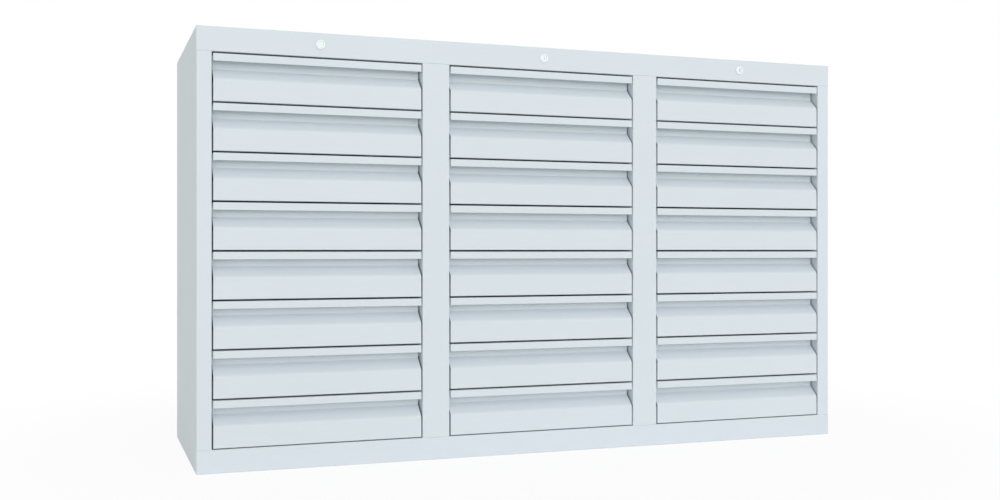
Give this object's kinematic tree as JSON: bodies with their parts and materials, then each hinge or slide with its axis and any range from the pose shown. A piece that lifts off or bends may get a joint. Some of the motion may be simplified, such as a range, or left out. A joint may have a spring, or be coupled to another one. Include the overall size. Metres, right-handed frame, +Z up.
{
  "type": "drawer cabinet",
  "caption": "Wide sheet-metal parts cabinet with columns of shallow drawers, folded finger pulls and a column lock above each that lifts a bar behind the drawers.",
  "frame": {"origin": "centre of the cabinet's footprint, on the floor", "axes": "+Z up, the drawers open towards -Y, +X to the right as seen from the front"},
  "size_m": [1.5, 0.503, 0.9],
  "materials": {
    "cabinet_paint": "semi-gloss pale grey paint",
    "front_paint": "semi-gloss pale grey paint",
    "tray_paint": "satin pale grey paint",
    "runner_steel": "zinc plated",
    "lock_chrome": "polished",
    "lock_steel": "satin",
    "bar_steel": "zinc plated"
  },
  "bodies": {
    "cabinet": {"top_panel": "cabinet_paint", "base_panel": "cabinet_paint", "back_panel": "cabinet_paint", "upright_panels": "cabinet_paint", "cabinet_runners": "runner_steel", "lock_fittings": "lock_chrome"},
    "drawer_left_1": {"drawer_front_left_1": "front_paint", "drawer_box_left_1": "tray_paint"},
    "drawer_left_2": {"drawer_front_left_2": "front_paint", "drawer_box_left_2": "tray_paint"},
    "drawer_left_3": {"drawer_front_left_3": "front_paint", "drawer_box_left_3": "tray_paint"},
    "drawer_left_4": {"drawer_front_left_4": "front_paint", "drawer_box_left_4": "tray_paint"},
    "drawer_left_5": {"drawer_front_left_5": "front_paint", "drawer_box_left_5": "tray_paint"},
    "drawer_left_6": {"drawer_front_left_6": "front_paint", "drawer_box_left_6": "tray_paint"},
    "drawer_left_7": {"drawer_front_left_7": "front_paint", "drawer_box_left_7": "tray_paint"},
    "drawer_left_8": {"drawer_front_left_8": "front_paint", "drawer_box_left_8": "tray_paint"},
    "drawer_centre_1": {"drawer_front_centre_1": "front_paint", "drawer_box_centre_1": "tray_paint"},
    "drawer_centre_2": {"drawer_front_centre_2": "front_paint", "drawer_box_centre_2": "tray_paint"},
    "drawer_centre_3": {"drawer_front_centre_3": "front_paint", "drawer_box_centre_3": "tray_paint"},
    "drawer_centre_4": {"drawer_front_centre_4": "front_paint", "drawer_box_centre_4": "tray_paint"},
    "drawer_centre_5": {"drawer_front_centre_5": "front_paint", "drawer_box_centre_5": "tray_paint"},
    "drawer_centre_6": {"drawer_front_centre_6": "front_paint", "drawer_box_centre_6": "tray_paint"},
    "drawer_centre_7": {"drawer_front_centre_7": "front_paint", "drawer_box_centre_7": "tray_paint"},
    "drawer_centre_8": {"drawer_front_centre_8": "front_paint", "drawer_box_centre_8": "tray_paint"},
    "drawer_right_1": {"drawer_front_right_1": "front_paint", "drawer_box_right_1": "tray_paint"},
    "drawer_right_2": {"drawer_front_right_2": "front_paint", "drawer_box_right_2": "tray_paint"},
    "drawer_right_3": {"drawer_front_right_3": "front_paint", "drawer_box_right_3": "tray_paint"},
    "drawer_right_4": {"drawer_front_right_4": "front_paint", "drawer_box_right_4": "tray_paint"},
    "drawer_right_5": {"drawer_front_right_5": "front_paint", "drawer_box_right_5": "tray_paint"},
    "drawer_right_6": {"drawer_front_right_6": "front_paint", "drawer_box_right_6": "tray_paint"},
    "drawer_right_7": {"drawer_front_right_7": "front_paint", "drawer_box_right_7": "tray_paint"},
    "drawer_right_8": {"drawer_front_right_8": "front_paint", "drawer_box_right_8": "tray_paint"},
    "lock_left": {"lock_plug_left": "lock_steel"},
    "bar_left": {"locking_bar_left": "bar_steel"},
    "lock_centre": {"lock_plug_centre": "lock_steel"},
    "bar_centre": {"locking_bar_centre": "bar_steel"},
    "lock_right": {"lock_plug_right": "lock_steel"},
    "bar_right": {"locking_bar_right": "bar_steel"}
  },
  "joints": [
    {"name": "drawer_left_1_slide", "type": "slide", "parent": "cabinet", "child": "drawer_left_1", "axis": [0, -1, 0], "range_m": [0, 0.35]},
    {"name": "drawer_left_2_slide", "type": "slide", "parent": "cabinet", "child": "drawer_left_2", "axis": [0, -1, 0], "range_m": [0, 0.35]},
    {"name": "drawer_left_3_slide", "type": "slide", "parent": "cabinet", "child": "drawer_left_3", "axis": [0, -1, 0], "range_m": [0, 0.35]},
    {"name": "drawer_left_4_slide", "type": "slide", "parent": "cabinet", "child": "drawer_left_4", "axis": [0, -1, 0], "range_m": [0, 0.35]},
    {"name": "drawer_left_5_slide", "type": "slide", "parent": "cabinet", "child": "drawer_left_5", "axis": [0, -1, 0], "range_m": [0, 0.35]},
    {"name": "drawer_left_6_slide", "type": "slide", "parent": "cabinet", "child": "drawer_left_6", "axis": [0, -1, 0], "range_m": [0, 0.35]},
    {"name": "drawer_left_7_slide", "type": "slide", "parent": "cabinet", "child": "drawer_left_7", "axis": [0, -1, 0], "range_m": [0, 0.35]},
    {"name": "drawer_left_8_slide", "type": "slide", "parent": "cabinet", "child": "drawer_left_8", "axis": [0, -1, 0], "range_m": [0, 0.35]},
    {"name": "drawer_centre_1_slide", "type": "slide", "parent": "cabinet", "child": "drawer_centre_1", "axis": [0, -1, 0], "range_m": [0, 0.35]},
    {"name": "drawer_centre_2_slide", "type": "slide", "parent": "cabinet", "child": "drawer_centre_2", "axis": [0, -1, 0], "range_m": [0, 0.35]},
    {"name": "drawer_centre_3_slide", "type": "slide", "parent": "cabinet", "child": "drawer_centre_3", "axis": [0, -1, 0], "range_m": [0, 0.35]},
    {"name": "drawer_centre_4_slide", "type": "slide", "parent": "cabinet", "child": "drawer_centre_4", "axis": [0, -1, 0], "range_m": [0, 0.35]},
    {"name": "drawer_centre_5_slide", "type": "slide", "parent": "cabinet", "child": "drawer_centre_5", "axis": [0, -1, 0], "range_m": [0, 0.35]},
    {"name": "drawer_centre_6_slide", "type": "slide", "parent": "cabinet", "child": "drawer_centre_6", "axis": [0, -1, 0], "range_m": [0, 0.35]},
    {"name": "drawer_centre_7_slide", "type": "slide", "parent": "cabinet", "child": "drawer_centre_7", "axis": [0, -1, 0], "range_m": [0, 0.35]},
    {"name": "drawer_centre_8_slide", "type": "slide", "parent": "cabinet", "child": "drawer_centre_8", "axis": [0, -1, 0], "range_m": [0, 0.35]},
    {"name": "drawer_right_1_slide", "type": "slide", "parent": "cabinet", "child": "drawer_right_1", "axis": [0, -1, 0], "range_m": [0, 0.35]},
    {"name": "drawer_right_2_slide", "type": "slide", "parent": "cabinet", "child": "drawer_right_2", "axis": [0, -1, 0], "range_m": [0, 0.35]},
    {"name": "drawer_right_3_slide", "type": "slide", "parent": "cabinet", "child": "drawer_right_3", "axis": [0, -1, 0], "range_m": [0, 0.35]},
    {"name": "drawer_right_4_slide", "type": "slide", "parent": "cabinet", "child": "drawer_right_4", "axis": [0, -1, 0], "range_m": [0, 0.35]},
    {"name": "drawer_right_5_slide", "type": "slide", "parent": "cabinet", "child": "drawer_right_5", "axis": [0, -1, 0], "range_m": [0, 0.35]},
    {"name": "drawer_right_6_slide", "type": "slide", "parent": "cabinet", "child": "drawer_right_6", "axis": [0, -1, 0], "range_m": [0, 0.35]},
    {"name": "drawer_right_7_slide", "type": "slide", "parent": "cabinet", "child": "drawer_right_7", "axis": [0, -1, 0], "range_m": [0, 0.35]},
    {"name": "drawer_right_8_slide", "type": "slide", "parent": "cabinet", "child": "drawer_right_8", "axis": [0, -1, 0], "range_m": [0, 0.35]},
    {"name": "lock_left_turn", "type": "hinge", "parent": "cabinet", "child": "lock_left", "pos_m": [-0.5, -0.253, 0.876], "axis": [0, -1, 0], "range_deg": [0, 90]},
    {"name": "bar_left_lift", "type": "slide", "parent": "cabinet", "child": "bar_left", "axis": [0, 0, 1], "range_m": [0, 0.01]},
    {"name": "lock_centre_turn", "type": "hinge", "parent": "cabinet", "child": "lock_centre", "pos_m": [0, -0.253, 0.876], "axis": [0, -1, 0], "range_deg": [0, 90]},
    {"name": "bar_centre_lift", "type": "slide", "parent": "cabinet", "child": "bar_centre", "axis": [0, 0, 1], "range_m": [0, 0.01]},
    {"name": "lock_right_turn", "type": "hinge", "parent": "cabinet", "child": "lock_right", "pos_m": [0.5, -0.253, 0.876], "axis": [0, -1, 0], "range_deg": [0, 90]},
    {"name": "bar_right_lift", "type": "slide", "parent": "cabinet", "child": "bar_right", "axis": [0, 0, 1], "range_m": [0, 0.01]}
  ],
  "couplings": [
    {"joint": "lock_left_turn", "follows": "bar_left_lift", "rad_per_m": 157.08},
    {"joint": "lock_centre_turn", "follows": "bar_centre_lift", "rad_per_m": 157.08},
    {"joint": "lock_right_turn", "follows": "bar_right_lift", "rad_per_m": 157.08}
  ]
}
